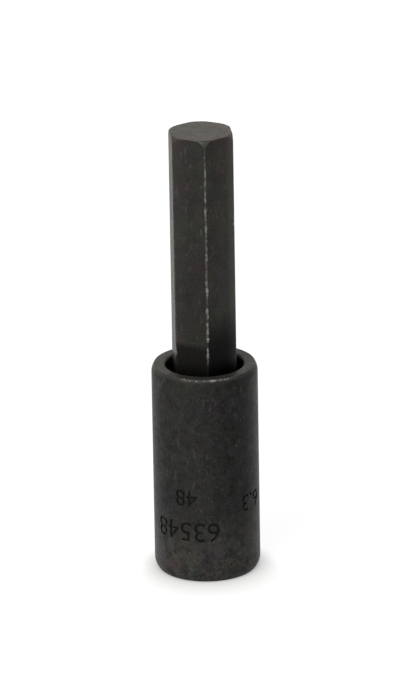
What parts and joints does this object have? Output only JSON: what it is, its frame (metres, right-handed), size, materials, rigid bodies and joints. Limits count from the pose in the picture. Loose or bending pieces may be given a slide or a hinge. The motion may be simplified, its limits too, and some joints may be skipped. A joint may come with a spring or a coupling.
{
  "type": "hex bit socket",
  "caption": "Round black steel socket barrel with a square drive hole in its foot and a removable hex key bit held in its mouth by a hidden spring ring.",
  "frame": {"origin": "centre of the barrel's drive end, on the face that it stands on", "axes": "+Z along the barrel and bit, towards the tip of the bit; corners of the hex on +Y and -Y, walls of the square drive hole facing X and Y"},
  "size_m": [0.0112, 0.0112, 0.048],
  "materials": {
    "black_steel": "matte black phosphate, worn bright in specks along the rim",
    "bit_steel": "matte black oxide, worn bright along the corner edges",
    "spring_wire": "drawn spring steel"
  },
  "bodies": {
    "barrel": {"socket_barrel": "black_steel", "retaining_ring": "spring_wire"},
    "bit": {"hex_bit": "bit_steel"}
  },
  "joints": [
    {"name": "bit_slide", "type": "slide", "parent": "barrel", "child": "bit", "axis": [0, 0, 1], "range_m": [0, 0.0085], "deforming": ["retaining_ring"]}
  ]
}
